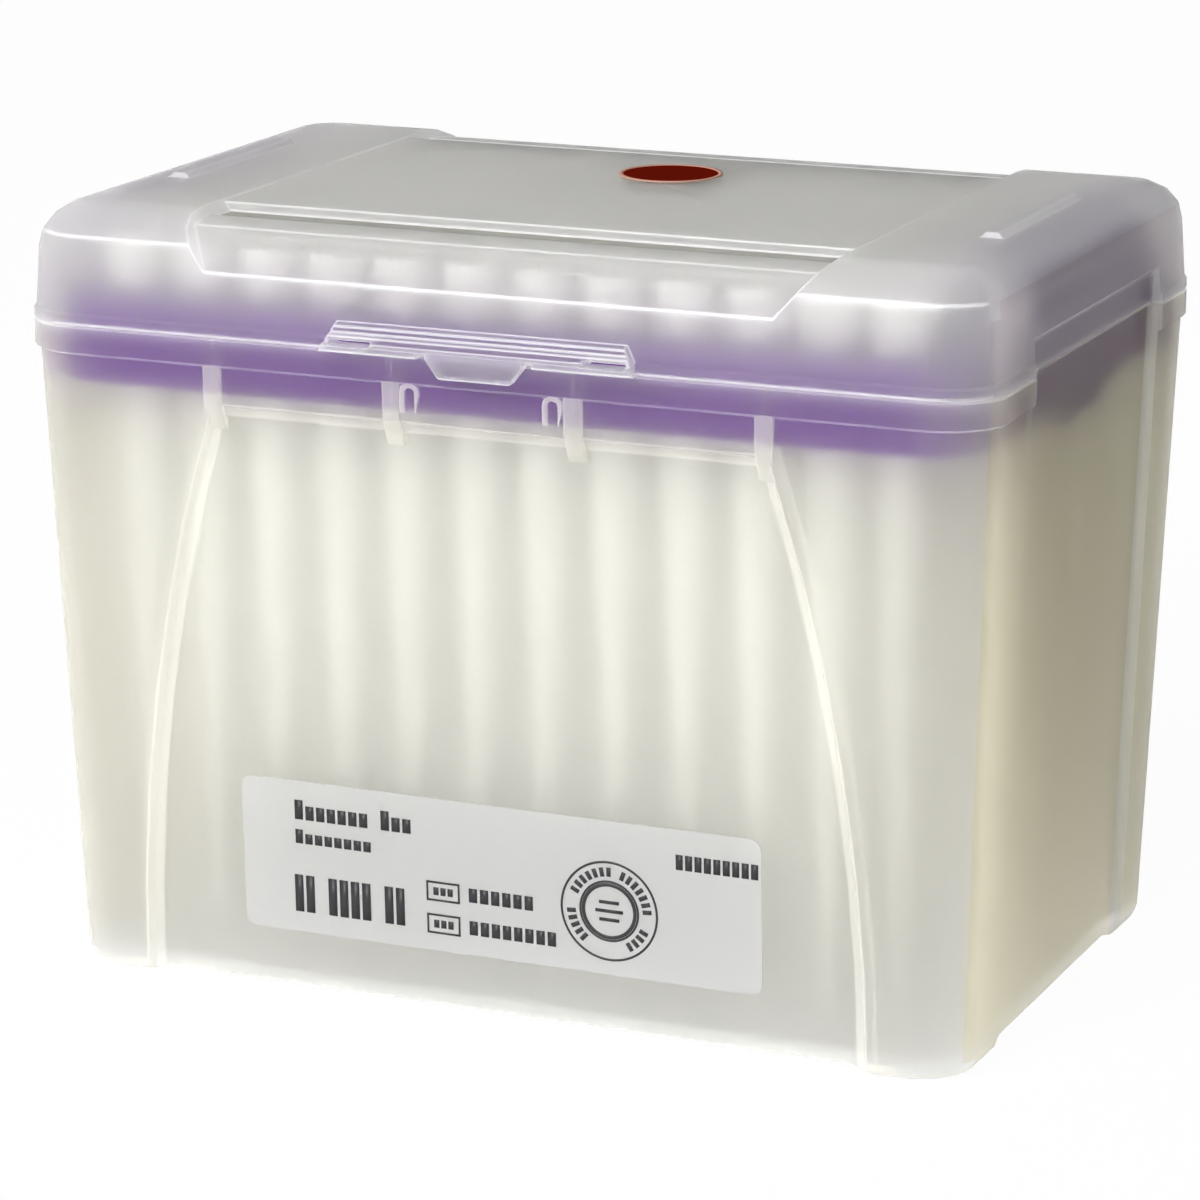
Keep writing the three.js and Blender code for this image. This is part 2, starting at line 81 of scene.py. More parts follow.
# The places of the finishes in the base's list: plain plastic, a whiter finish that paints highlights, a
# cream finish that paints shade on the end walls and a paler finish that paints highlights on the ribs.
# The first two are the same in the lid's.
THIN = 0
PAINTED_HIGHLIGHT = 1
SHADED_END = 2
PAINTED_RIB_HIGHLIGHT = 3

# How the moulding's edges are told apart and rounded.
SAME_PLACE = 0.002 * MM
FLAT = math.radians(0.4)
SHARP = math.radians(28)
SOFT_EDGE = 0.25 * MM
SHORTEST = 0.05 * MM
ROUNDING_SHARE = 0.4
ROUNDED_OVER = math.radians(35)
ROUNDING_STEPS = 2

# Where each finish and the sharp edges lie, from the middle of the box and up from its feet.
WALL_FOOT = 37.7 * MM
WALL_LEAN = 0.0352
PANEL_HALF = 50 * MM
PANEL_HEAD = 78.5 * MM
PANEL_DEPTH = 1.5 * MM
NEAR_LEVEL = 0.1 * MM
LEAST_SLOPE = 0.2
MOST_SLOPE = 0.97
GRIP_HALF = 27 * MM
GRIP_WALL = 57 * MM
END_WALL = 55 * MM
END_FACING = 0.9
RIM_STEP_FOOT = 78.8 * MM
RIM_STEP_HEAD = 79.5 * MM
RIM_TOP = 82.1 * MM
LOOP_NEAR = 7.5 * MM
LOOP_FAR = 11 * MM
LOOP_FOOT = 74.3 * MM
LOOP_FRONT = 40 * MM
LOOP_PROUD = 0.2 * MM
RIB_PLACES = (11.7 * MM, 35.5 * MM)
RIB_REACH = 1.6 * MM
RIB_FOOT = 70 * MM


def distance(point, line):
    """From a point to the nearest place on an edge."""
    start, end = (corner.co for corner in line.verts)
    share = intersect_point_line(point, start, end)[1]
    return (point - start.lerp(end, min(max(share, 0), 1))).length


def room_beside(line):
    """How near another edge of its two faces comes to line."""
    touching = [other for corner in line.verts for other in corner.link_edges if other != line]
    room = [other.calc_length() for other in touching]
    for other in {edge for face in line.link_faces for edge in face.edges}:
        if not set(other.verts) & set(line.verts):
            room += [distance(corner.co, line) for corner in other.verts]
            room += [distance(corner.co, other) for corner in line.verts]
    return min(room)


def soften(piece, edge):
    """Rounds the sharp edges of a piece by edge, and evens out the shading of its faces."""
    rounding = piece.modifiers.new("soft edges", "BEVEL")
    rounding.width = edge
    rounding.segments = ROUNDING_STEPS
    rounding.limit_method = "ANGLE"
    rounding.angle_limit = ROUNDED_OVER
    shading = piece.modifiers.new("even shading", "WEIGHTED_NORMAL")
    shading.keep_sharp = True
    return rounding


def moulded_copy(node, name, stays_sharp, cut=None):
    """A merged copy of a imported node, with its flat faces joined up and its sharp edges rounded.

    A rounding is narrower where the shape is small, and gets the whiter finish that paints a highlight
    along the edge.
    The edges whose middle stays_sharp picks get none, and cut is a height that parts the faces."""
    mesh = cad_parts[node].data.copy()
    mesh.materials.clear()
    shape = bmesh.new()
    shape.from_mesh(mesh)
    bmesh.ops.remove_doubles(shape, verts=shape.verts, dist=SAME_PLACE)
    bmesh.ops.dissolve_limit(shape, angle_limit=FLAT, verts=shape.verts, edges=shape.edges)
    bmesh.ops.dissolve_degenerate(shape, dist=SHORTEST, edges=shape.edges)
    if cut:
        whole = shape.verts[:] + shape.edges[:] + shape.faces[:]
        bmesh.ops.bisect_plane(shape, geom=whole, plane_co=(0, 0, cut), plane_no=(0, 0, 1))
    weight = shape.edges.layers.float.new("bevel_weight_edge")
    for line in shape.edges:
        middle = (line.verts[0].co + line.verts[1].co) / 2
        sharp = line.calc_face_angle(0) > SHARP
        line.smooth = not (sharp and stays_sharp(middle))
        if sharp and line.smooth:
            line[weight] = min(1, ROUNDING_SHARE * room_beside(line) / SOFT_EDGE)
    for face in shape.faces:
        face.smooth = True
    shape.to_mesh(mesh)
    shape.free()
    piece = bpy.data.objects.new(name, mesh)
    bpy.context.scene.collection.objects.link(piece)
    rounding = soften(piece, SOFT_EDGE)
    rounding.limit_method = "WEIGHT"
    rounding.use_clamp_overlap = False
    # The rounded edges get the whiter finish, a painted highlight.
    rounding.material = PAINTED_HIGHLIGHT
    return piece


def finish_faces(piece, finish_of):
    """Gives each face the finish that finish_of picks by the face's middle and facing."""
    for face in piece.data.polygons:
        face.material_index = finish_of(face.center, face.normal)


def finish(name):
    """A new material, its node tree and its surface shader."""
    material = bpy.data.materials.new(name)
    material.use_nodes = True
    return material, material.node_tree, material.node_tree.nodes["Principled BSDF"]


def noise(tree, scale, detail=2):
    """Cloudy noise fixed to the piece, with scale in waves to the metre."""
    place = tree.nodes.new("ShaderNodeTexCoord")
    cloud = tree.nodes.new("ShaderNodeTexNoise")
    cloud.inputs["Scale"].default_value = scale
    cloud.inputs["Detail"].default_value = detail
    tree.links.new(place.outputs["Object"], cloud.inputs["Vector"])
    return cloud.outputs["Fac"]


def mottle(tree, surface, amount, pale, deep, roughness, spread):
    """Lets amount vary the colour from deep to pale, and the roughness by spread either way."""
    colour = tree.nodes.new("ShaderNodeMix")
    colour.data_type = "RGBA"
    colour.inputs["A"].default_value = (*deep, 1)
    colour.inputs["B"].default_value = (*pale, 1)
    tree.links.new(amount, colour.inputs["Factor"])
    tree.links.new(colour.outputs["Result"], surface.inputs["Base Color"])
    gloss = tree.nodes.new("ShaderNodeMapRange")
    gloss.inputs["To Min"].default_value = roughness - spread
    gloss.inputs["To Max"].default_value = roughness + spread
    tree.links.new(amount, gloss.inputs["Value"])
    tree.links.new(gloss.outputs["Result"], surface.inputs["Roughness"])
    return colour.outputs["Result"]


def grain(tree, surface, height, strength, depth):
    """Lets height raise the surface a little, by depth at most."""
    bump = tree.nodes.new("ShaderNodeBump")
    bump.inputs["Strength"].default_value = strength
    bump.inputs["Distance"].default_value = depth
    tree.links.new(height, bump.inputs["Height"])
    tree.links.new(bump.outputs["Normal"], surface.inputs["Normal"])


def natural_plastic(name, pale, deep, roughness, clearness, index, spread):
    """Natural polypropylene with a smooth skin, where spread is the share that scatters light fully."""
    material, tree, surface = finish(name)
    clouds = noise(tree, PLASTIC_CLOUDS, PLASTIC_CLOUD_DETAIL)
    colour = mottle(tree, surface, clouds, pale, deep, roughness, PLASTIC_UNEVENNESS)
    grain(tree, surface, noise(tree, PLASTIC_GRAIN), GRAIN_STRENGTH, GRAIN_DEPTH)
    surface.inputs["Transmission Weight"].default_value = clearness
    surface.inputs["IOR"].default_value = index
    surface.inputs["Coat Weight"].default_value = SKIN_GLOSS
    surface.inputs["Coat Roughness"].default_value = SKIN_ROUGHNESS
    surface.inputs["Coat IOR"].default_value = SKIN_INDEX
    through = tree.nodes.new("ShaderNodeBsdfTranslucent")
    tree.links.new(colour, through.inputs["Color"])
    body = tree.nodes.new("ShaderNodeMixShader")
    body.inputs["Fac"].default_value = spread
    tree.links.new(surface.outputs["BSDF"], body.inputs[1])
    tree.links.new(through.outputs["BSDF"], body.inputs[2])
    tree.links.new(body.outputs["Shader"], tree.nodes["Material Output"].inputs["Surface"])
    return material


def sharp_in_base(middle):
    """The steps of the rim, which the lid hides, and the loops, which are too fine to round."""
    across = LOOP_NEAR < abs(middle.x) < LOOP_FAR
    loop = across and LOOP_FOOT < middle.z and abs(middle.y) > LOOP_FRONT
    return RIM_STEP_FOOT < middle.z < RIM_STEP_HEAD or middle.z > RIM_TOP or loop


def base_finish(middle, facing):
    """Painted highlight on the slopes round the sunk panels and grips and on the small loops, a paler
    painted highlight on the ribs, and painted shade on the end walls.
    """
    proud = abs(middle.y) - WALL_FOOT - WALL_LEAN * middle.z
    in_panel = abs(middle.x) < PANEL_HALF and middle.z < PANEL_HEAD
    sunk = in_panel and -PANEL_DEPTH < proud < NEAR_LEVEL
    slope = sunk and LEAST_SLOPE < abs(facing.y) < MOST_SLOPE
    loop = in_panel and proud > LOOP_PROUD and LOOP_NEAR < abs(middle.x) < LOOP_FAR
    in_grip = abs(middle.y) < GRIP_HALF and abs(middle.x) > GRIP_WALL
    grip = in_grip and LEAST_SLOPE < abs(facing.x) < MOST_SLOPE
    on_rib = any(abs(abs(middle.x) - place) < RIB_REACH for place in RIB_PLACES)
    # The ribs get a painted highlight.
    if on_rib and RIB_FOOT < middle.z < PANEL_HEAD and abs(middle.y) > WALL_FOOT:
        return PAINTED_RIB_HIGHLIGHT
    # A painted highlight on the slopes, the grips and the loops.
    if slope or grip or loop:
        return PAINTED_HIGHLIGHT
    # The end walls get painted shade.
    if abs(facing.x) > END_FACING and abs(middle.x) > END_WALL:
        return SHADED_END
    return THIN


base = moulded_copy("box_base", "box_base_moulding", sharp_in_base)
for name, pale, deep, clearness, spread in (
        ("frosted base plastic", BASE_PALE, BASE_DEEP, BASE_CLEARNESS, BASE_SPREAD),
        # Painted highlight on the rounded edges, slopes and loops.
        ("painted highlight on base edges", HIGHLIGHT_PALE, HIGHLIGHT_DEEP, HIGHLIGHT_CLEARNESS, HIGHLIGHT_SPREAD),
        # Painted shade on the end walls.
        ("painted shade on end walls", END_SHADE_PALE, END_SHADE_DEEP, BASE_CLEARNESS, BASE_SPREAD),
        # Painted highlight on the ribs.
        ("painted highlight on ribs", HIGHLIGHT_PALE, HIGHLIGHT_DEEP, RIB_HIGHLIGHT_CLEARNESS, RIB_HIGHLIGHT_SPREAD)):
    base.data.materials.append(natural_plastic(
        name, pale, deep, BASE_ROUGHNESS, clearness, BASE_INDEX, spread))
finish_faces(base, base_finish)
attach(base, "base")
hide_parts("box_base")


# ---- Tray ----
# A violet moulding that drops into the base: a skirt with a rounded edge, and a plate with a round hole
# for each tip. A wall stands up at each end to lift it by, and a tab hangs below the skirt there.

COLUMNS = 12
ROWS = 8
PITCH = 9 * MM
COLLAR_HEIGHT = 6.5 * MM
HANDLE_OVER_COLLAR = 1 * MM
TRAY_WALL = 1.2 * MM
TRAY_CORNER = 6.8 * MM
TRAY_EDGE = 1.5 * MM
TRAY_CORNER_STEPS = 8
TRAY_EDGE_STEPS = 4
TRAY_ROUNDING = 0.2 * MM
SKIRT_DEPTH = 10.6 * MM
HOLE_RADIUS = 3.75 * MM
HOLE_SIDES = 16
HANDLE_HALF = 24.5 * MM
HANDLE_CORNER = 2 * MM
HANDLE_CORNER_STEPS = 5
HANDLE_ROUNDING = 0.25 * MM
TAB_HALF = 8 * MM
TAB_DROP = 2.5 * MM
TAB_SLANT = 5 * MM
TRAY_VIOLET = (0.095, 0.006, 0.21)
TRAY_SHADE = (0.072, 0.005, 0.165)
TRAY_ROUGHNESS = 0.42
TRAY_UNEVENNESS = 0.06
TRAY_CLOUDS = 60
TRAY_GRAIN = 1400
TRAY_GRAIN_STRENGTH = 0.2
SAME_CORNER = 0.001 * MM

tray_low, tray_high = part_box("tip_tray")
plate_top = tray_high.z - HANDLE_OVER_COLLAR - COLLAR_HEIGHT


def moved(x, y, z):
    return Matrix.Translation((x, y, z))


def new_piece(name, shape):
    """The finished mesh as an object of its own, with its doubles merged and its faces outward."""
    bmesh.ops.remove_doubles(shape, verts=shape.verts, dist=SAME_CORNER)
    bmesh.ops.recalc_face_normals(shape, faces=shape.faces)
    mesh = bpy.data.meshes.new(name)
    shape.to_mesh(mesh)
    shape.free()
    mesh.shade_smooth()
    piece = bpy.data.objects.new(name, mesh)
    bpy.context.scene.collection.objects.link(piece)
    return piece


def corners_of(made):
    return [item for item in made if isinstance(item, bmesh.types.BMVert)]


def faces_of(made):
    return [item for item in made if isinstance(item, bmesh.types.BMFace)]


def tip_places():
    for column in range(COLUMNS):
        for row in range(ROWS):
            yield (column - (COLUMNS - 1) / 2) * PITCH, (row - (ROWS - 1) / 2) * PITCH


tray_shape = bmesh.new()
footprint = Matrix.Diagonal((tray_high.x, tray_high.y, 1, 1))
bmesh.ops.create_grid(tray_shape, x_segments=1, y_segments=1, size=1,
                      matrix=moved(0, 0, plate_top) @ footprint)
bmesh.ops.bevel(tray_shape, geom=tray_shape.verts[:], offset=TRAY_CORNER, offset_type="OFFSET",
                affect="VERTICES", segments=TRAY_CORNER_STEPS, profile=0.5, material=-1)
plate = tray_shape.faces[:]
skirt = bmesh.ops.extrude_face_region(tray_shape, geom=plate)["geom"]
bmesh.ops.translate(tray_shape, verts=corners_of(skirt), vec=(0, 0, -SKIRT_DEPTH))
bmesh.ops.delete(tray_shape, geom=faces_of(skirt), context="FACES_ONLY")
bmesh.ops.recalc_face_normals(tray_shape, faces=tray_shape.faces)
top_face = max(tray_shape.faces, key=lambda face: len(face.verts))
bmesh.ops.bevel(tray_shape, geom=list(top_face.edges), offset=TRAY_EDGE, offset_type="OFFSET",
                affect="EDGES", segments=TRAY_EDGE_STEPS, profile=0.5, material=-1)
top_face = max(tray_shape.faces, key=lambda face: len(face.verts))
opening = list(top_face.edges)
bmesh.ops.delete(tray_shape, geom=[top_face], context="FACES_ONLY")
for x, y in tip_places():
    hole = bmesh.ops.create_circle(tray_shape, segments=HOLE_SIDES, radius=HOLE_RADIUS,
                                   matrix=moved(x, y, plate_top))["verts"]
    opening += {edge for corner in hole for edge in corner.link_edges}
bmesh.ops.triangle_fill(tray_shape, edges=opening, use_beauty=True)
tray = new_piece("tray_moulding", tray_shape)
tray_wall = tray.modifiers.new("wall", "SOLIDIFY")
tray_wall.thickness = TRAY_WALL
tray_wall.offset = -1
tray_wall.use_even_offset = True
soften(tray, TRAY_ROUNDING)


def end_walls():
    """The lifting wall and the tab of the right end, rounded and mirrored to the left."""
    shape = bmesh.new()
    foot = plate_top - SKIRT_DEPTH
    tab_head = TAB_HALF + TAB_SLANT
    outlines = (
        ((-HANDLE_HALF, plate_top - TRAY_WALL), (HANDLE_HALF, plate_top - TRAY_WALL),
         (HANDLE_HALF - TRAY_EDGE, tray_high.z), (TRAY_EDGE - HANDLE_HALF, tray_high.z)),
        ((-TAB_HALF, foot - TAB_DROP), (TAB_HALF, foot - TAB_DROP),
         (tab_head, foot + TRAY_WALL), (-tab_head, foot + TRAY_WALL)))
    for outline in outlines:
        corners = [shape.verts.new((tray_high.x - TRAY_WALL, y, z)) for y, z in outline]
        sheet = bmesh.ops.contextual_create(shape, geom=corners)["faces"]
        body = bmesh.ops.extrude_face_region(shape, geom=sheet)["geom"]
        bmesh.ops.translate(shape, verts=corners_of(body), vec=(TRAY_WALL, 0, 0))
    bmesh.ops.recalc_face_normals(shape, faces=shape.faces)
    upper = [edge for edge in shape.edges if all(corner.co.z > plate_top for corner in edge.verts)]
    crossing = [edge for edge in upper if abs(edge.verts[0].co.y - edge.verts[1].co.y) < MM]
    bmesh.ops.bevel(shape, geom=crossing, offset=HANDLE_CORNER, offset_type="OFFSET", affect="EDGES",
                    segments=HANDLE_CORNER_STEPS, profile=0.5, material=-1)
    whole = shape.verts[:] + shape.edges[:] + shape.faces[:]
    twin = bmesh.ops.duplicate(shape, geom=whole)["geom"]
    bmesh.ops.scale(shape, vec=(-1, 1, 1), verts=corners_of(twin))
    return shape


handles = new_piece("tray_handles", end_walls())
soften(handles, HANDLE_ROUNDING)
violet, tree, surface = finish("violet tray plastic")
clouds = noise(tree, TRAY_CLOUDS, PLASTIC_CLOUD_DETAIL)
mottle(tree, surface, clouds, TRAY_VIOLET, TRAY_SHADE, TRAY_ROUGHNESS, TRAY_UNEVENNESS)
grain(tree, surface, noise(tree, TRAY_GRAIN), TRAY_GRAIN_STRENGTH, GRAIN_DEPTH)
for piece in (tray, handles):
    piece.data.materials.append(violet)
    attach(piece, "base")
    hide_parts("tip_tray")


# ---- Tips ----
# Long slim mouldings of natural polypropylene, hollow from end to end. The collar stands on the tray's
# plate, and the shank tapers down to a fine mouth just above the floor of the base.

TIP_PALE = (0.94, 0.93, 0.865)
TIP_DEEP = (0.91, 0.90, 0.835)
TIP_ROUGHNESS = 0.42
TIP_UNEVENNESS = 0.06
TIP_CLOUDS = 60
TIP_SIDES = 16
FIRST_TAPER = 30 * MM
SECOND_TAPER = 50 * MM
SOCKET_DEPTH = 3 * MM

tip_foot = tray_low.z
tip_top = plate_top + COLLAR_HEIGHT
tip_section = (
    (0.40 * MM, tip_foot),
    (0.65 * MM, tip_foot),
    (1.60 * MM, tip_foot + FIRST_TAPER),
    (2.42 * MM, tip_foot + SECOND_TAPER),
    (3.45 * MM, plate_top - 0.6 * MM),
    (3.60 * MM, plate_top),
    (4.00 * MM, plate_top + 0.1 * MM),
    (4.00 * MM, tip_top - 0.9 * MM),
    (3.85 * MM, tip_top - 0.25 * MM),
    (3.65 * MM, tip_top),
    (3.35 * MM, tip_top - 0.1 * MM),
    (2.95 * MM, plate_top - SOCKET_DEPTH),
    (1.95 * MM, tip_foot + SECOND_TAPER),
    (1.10 * MM, tip_foot + FIRST_TAPER))
tip_shape = bmesh.new()
section = [tip_shape.verts.new((radius, 0, z)) for radius, z in tip_section]
lines = [tip_shape.edges.new((section[i - 1], section[i])) for i in range(len(section))]
bmesh.ops.spin(tip_shape, geom=section + lines, cent=(0, 0, 0), axis=(0, 0, 1),
               angle=math.radians(360), steps=TIP_SIDES, use_merge=True)
first_tip = tip_shape.verts[:] + tip_shape.edges[:] + tip_shape.faces[:]
places = list(tip_places())
for x, y in places[1:]:
    tip = bmesh.ops.duplicate(tip_shape, geom=first_tip)["geom"]
    bmesh.ops.translate(tip_shape, verts=corners_of(tip), vec=(x, y, 0))
bmesh.ops.translate(tip_shape, verts=corners_of(first_tip), vec=(*places[0], 0))
tips = new_piece("tips", tip_shape)
material, tree, surface = finish("tip plastic")
clouds = noise(tree, TIP_CLOUDS, PLASTIC_CLOUD_DETAIL)
mottle(tree, surface, clouds, TIP_PALE, TIP_DEEP, TIP_ROUGHNESS, TIP_UNEVENNESS)
grain(tree, surface, noise(tree, PLASTIC_GRAIN), GRAIN_STRENGTH, GRAIN_DEPTH)
tips.data.materials.append(material)
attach(tips, "base")
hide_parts("tip_tray")


# ---- Film label ----
# A clear self-adhesive film on the front panel, a little milkier than the wall behind it. A plain
# layout is printed on it in black: blocks for the lines of print, two framed fields and a ring of marks.

FILM_PALE = (0.87, 0.87, 0.87)
FILM_DEEP = (0.84, 0.84, 0.85)
FILM_ROUGHNESS = 0.35
FILM_UNEVENNESS = 0.03
FILM_CLOUDS = 60
FILM_CLEARNESS = 0.75
FILM_INDEX = 1.2
FILM_GLOSS = 0.2
FILM_SKIN_ROUGHNESS = 0.2
INK_PALE = (0.028, 0.027, 0.030)
INK_DEEP = (0.014, 0.014, 0.016)
INK_ROUGHNESS = 0.5
INK_UNEVENNESS = 0.08
INK_CLOUDS = 900
INK_DEPTH = 0.02 * MM

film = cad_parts["front_label"]
film.data.materials.clear()
material, tree, surface = finish("label film")
clouds = noise(tree, FILM_CLOUDS)
mottle(tree, surface, clouds, FILM_PALE, FILM_DEEP, FILM_ROUGHNESS, FILM_UNEVENNESS)
surface.inputs["Transmission Weight"].default_value = FILM_CLEARNESS
surface.inputs["IOR"].default_value = FILM_INDEX
surface.inputs["Coat Weight"].default_value = FILM_GLOSS
surface.inputs["Coat Roughness"].default_value = FILM_SKIN_ROUGHNESS
film.data.materials.append(material)

film_low, film_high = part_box("front_label")
film_corners = [corner.co for corner in film.data.vertices]
front_at_foot = min(corner.y for corner in film_corners if corner.z < film_low.z + NEAR_LEVEL)
front_at_head = min(corner.y for corner in film_corners if corner.z > film_high.z - NEAR_LEVEL)
film_height = film_high.z - film_low.z
film_lean = math.atan2(front_at_foot - front_at_head, film_height)
on_film = (moved(0, front_at_foot, film_low.z) @ Matrix.Rotation(film_lean, 4, "X")
           @ Matrix.Rotation(math.radians(90), 4, "X"))

# The print is laid out in millimetres, across from the film's middle and up from its lower edge.
LOW_BLOCK = 0.72
FIELD_MIDDLE = -7.25
FIELD_FEET = (6.5, 2.3)
FIELD_WIDTH = 4.2
FIELD_HEIGHT = 2.3
FIELD_LINE = 0.26
RING_X = 14.7
RING_Z = 8.1
RINGS = ((6.2, 0.28), (3.75, 0.28), (3.35, 0.45))
RING_SIDES = 64
RING_BARS = ((9.2, 2.6), (8.1, 3.6), (7.0, 2.6))
RING_BAR_HEIGHT = 0.42
MARKS = 34
MARK_GAPS = (7, 8, 14, 15, 16, 17, 18, 19, 24, 25, 33)
MARK_REACH = 4.95
MARK_LENGTH = 1.15
MARK_WIDTH = 0.55

print_shape = bmesh.new()


def block(x, z, width, height, turn=0):
    """A solid block of ink with its middle at x and z."""
    size = Matrix.Diagonal((width * MM / 2, height * MM / 2, 1, 1))
    place = moved(x * MM, z * MM, 0) @ Matrix.Rotation(turn, 4, "Z")
    bmesh.ops.create_grid(print_shape, x_segments=1, y_segments=1, size=1, matrix=place @ size)


def ring(radius, line):
    rims = []
    for reach in (radius - line / 2, radius + line / 2):
        made = bmesh.ops.create_circle(print_shape, segments=RING_SIDES, radius=reach * MM,
                                       matrix=moved(RING_X * MM, RING_Z * MM, 0))["verts"]
        rims += {edge for corner in made for edge in corner.link_edges}
    bmesh.ops.bridge_loops(print_shape, edges=rims)


def printed_line(left, foot, height, blocks, width, gap):
    """A line of print shown as blocks: a tall one for T, a low one for l, a space for a blank."""
    x = left
    for kind in blocks:
        if kind != " ":
            tall = height if kind == "T" else LOW_BLOCK * height
            block(x + width / 2, foot + tall / 2, width, tall)
        x += width + gap


printed_line(-27.1, 14.6, 2.5, "Tllllll Tll", 1.12, 0.34)
printed_line(-27.1, 11.5, 1.8, "Tlllllll", 1.0, 0.32)
printed_line(-27.4, 2.6, 4.8, "TT TTTT TT", 1.15, 0.38)
printed_line(-3.8, 6.8, 1.8, "TTTTTT", 1.1, 0.38)
printed_line(-3.8, 2.6, 1.8, "TTTTTTTT", 1.1, 0.38)
for foot in FIELD_FEET:
    for z in (foot, foot + FIELD_HEIGHT):
        block(FIELD_MIDDLE, z, FIELD_WIDTH, FIELD_LINE)
    for x in (FIELD_MIDDLE - FIELD_WIDTH / 2, FIELD_MIDDLE + FIELD_WIDTH / 2):
        block(x, foot + FIELD_HEIGHT / 2, FIELD_LINE, FIELD_HEIGHT + FIELD_LINE)
    printed_line(-8.55, foot + 0.65, 1.0, "TTT", 0.7, 0.25)
for radius, line in RINGS:
    ring(radius, line)
for mark in range(MARKS):
    if mark not in MARK_GAPS:
        turn = math.radians(360) * mark / MARKS + math.radians(90)
        block(RING_X + MARK_REACH * math.cos(turn), RING_Z + MARK_REACH * math.sin(turn),
              MARK_LENGTH, MARK_WIDTH, turn)
for z, width in RING_BARS:
    block(RING_X, z, width, RING_BAR_HEIGHT)
printed_line(23.4, 14.5, 1.9, "TTTTTTTTT", 0.9, 0.3)

on_face = on_film @ moved(0, 0, 0.5 * INK_DEPTH)
bmesh.ops.transform(print_shape, matrix=on_face, verts=print_shape.verts)
ink = new_piece("label_print", print_shape)
ink_depth = ink.modifiers.new("ink", "SOLIDIFY")
ink_depth.thickness = INK_DEPTH
ink_depth.offset = 0
material, tree, surface = finish("label ink")
clouds = noise(tree, INK_CLOUDS)
mottle(tree, surface, clouds, INK_PALE, INK_DEEP, INK_ROUGHNESS, INK_UNEVENNESS)
ink.data.materials.append(material)
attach(ink, "base")


# ---- Lid ----
# A second moulding of the same plastic. Its pins turn in the open ears along the back of the base, and
# the stepped latch in front snaps over the rim.

LID_PALE = (0.97, 0.97, 0.97)
LID_DEEP = (0.95, 0.95, 0.95)
LID_ROUGHNESS = 0.75
LID_CLEARNESS = 0.98
# Painted highlight: a less clear finish for the lid's rounded edges and the lower half of its bead.
LID_HIGHLIGHT_CLEARNESS = 0.5
LID_INDEX = 1.20
LID_SPREAD = 0.36
# Painted shade: a darker, warmer finish for the lid's end walls.
LID_END_SHADE_PALE = (0.87, 0.84, 0.83)
LID_END_SHADE_DEEP = (0.83, 0.80, 0.79)
# Painted shade: a dark olive finish for the floor of the groove round the top plate.
GROOVE_SHADE_PALE = (0.42, 0.41, 0.36)
GROOVE_SHADE_DEEP = (0.36, 0.35, 0.30)

# The places of the lid's own two finishes in its list: painted shade in the groove and on the end walls.
PAINTED_GROOVE_SHADE = 2
SHADED_LID_END = 3

# Where each finish and the sharp edges lie.
LID_END_WALL = 60 * MM
GROOVE_FRONT = 31 * MM
GROOVE_BACK = 26 * MM
GROOVE_FLOOR = 95.2 * MM
LID_FOOT = 82.7 * MM
BEAD_MIDDLE = 82.95 * MM
BEAD_HEAD = 84.3 * MM
BEAD_X = 62.5 * MM
BEAD_Y = 40.8 * MM
LATCH_HALF = 19.5 * MM


def sharp_in_lid(middle):
    """The bead's upper steps, beside the latch."""
    off_latch = abs(middle.x) > LATCH_HALF or middle.y > 0
    return BEAD_MIDDLE < middle.z < BEAD_HEAD and off_latch


def lid_finish(middle, facing):
    """Painted shade on the groove's floor and on the end walls, and a painted highlight on the lower
    half of the bead round the lid's foot.
    """
    # Painted shade on the groove's floor.
    if abs(middle.z - GROOVE_FLOOR) < NEAR_LEVEL and GROOVE_BACK < abs(middle.y) < GROOVE_FRONT:
        return PAINTED_GROOVE_SHADE
    # A painted highlight along the lower half of the bead.
    if LID_FOOT < middle.z < BEAD_MIDDLE and (abs(middle.y) > BEAD_Y or abs(middle.x) > BEAD_X):
        return PAINTED_HIGHLIGHT
    # Painted shade on the lid's end walls.
    if abs(facing.x) > END_FACING and abs(middle.x) > LID_END_WALL:
        return SHADED_LID_END
    return THIN


lid = moulded_copy("lid", "lid_moulding", sharp_in_lid, BEAD_MIDDLE)
for name, pale, deep, clearness, spread in (
        ("frosted lid plastic", LID_PALE, LID_DEEP, LID_CLEARNESS, LID_SPREAD),
        # Painted highlight on the lid's rounded edges and bead.
        ("painted highlight on lid edges", LID_PALE, LID_DEEP, LID_HIGHLIGHT_CLEARNESS, HIGHLIGHT_SPREAD),
        # Painted shade in the groove.
        ("painted shade in lid groove", GROOVE_SHADE_PALE, GROOVE_SHADE_DEEP, LID_CLEARNESS, LID_SPREAD),
        # Painted shade on the lid's end walls.
        ("painted shade on lid ends", LID_END_SHADE_PALE, LID_END_SHADE_DEEP, LID_CLEARNESS, LID_SPREAD)):
    lid.data.materials.append(natural_plastic(
        name, pale, deep, LID_ROUGHNESS, clearness, LID_INDEX, spread))
finish_faces(lid, lid_finish)
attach(lid, "lid")
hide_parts("lid")


# ---- Indicator dot ----
# A round red sticker on the lid's top plate. It is die-cut a little larger than its print, so a pale
# edge shows all round.

DOT_PALE = (0.13, 0.007, 0.002)
DOT_DEEP = (0.115, 0.006, 0.002)
DOT_ROUGHNESS = 0.55
STICKER_PALE = (0.80, 0.42, 0.30)
STICKER_DEEP = (0.74, 0.36, 0.26)
STICKER_ROUGHNESS = 0.5
STICKER_CLEARNESS = 0.3
STICKER_UNEVENNESS = 0.05
STICKER_CLOUDS = 300
STICKER_MARGIN = 0.5 * MM

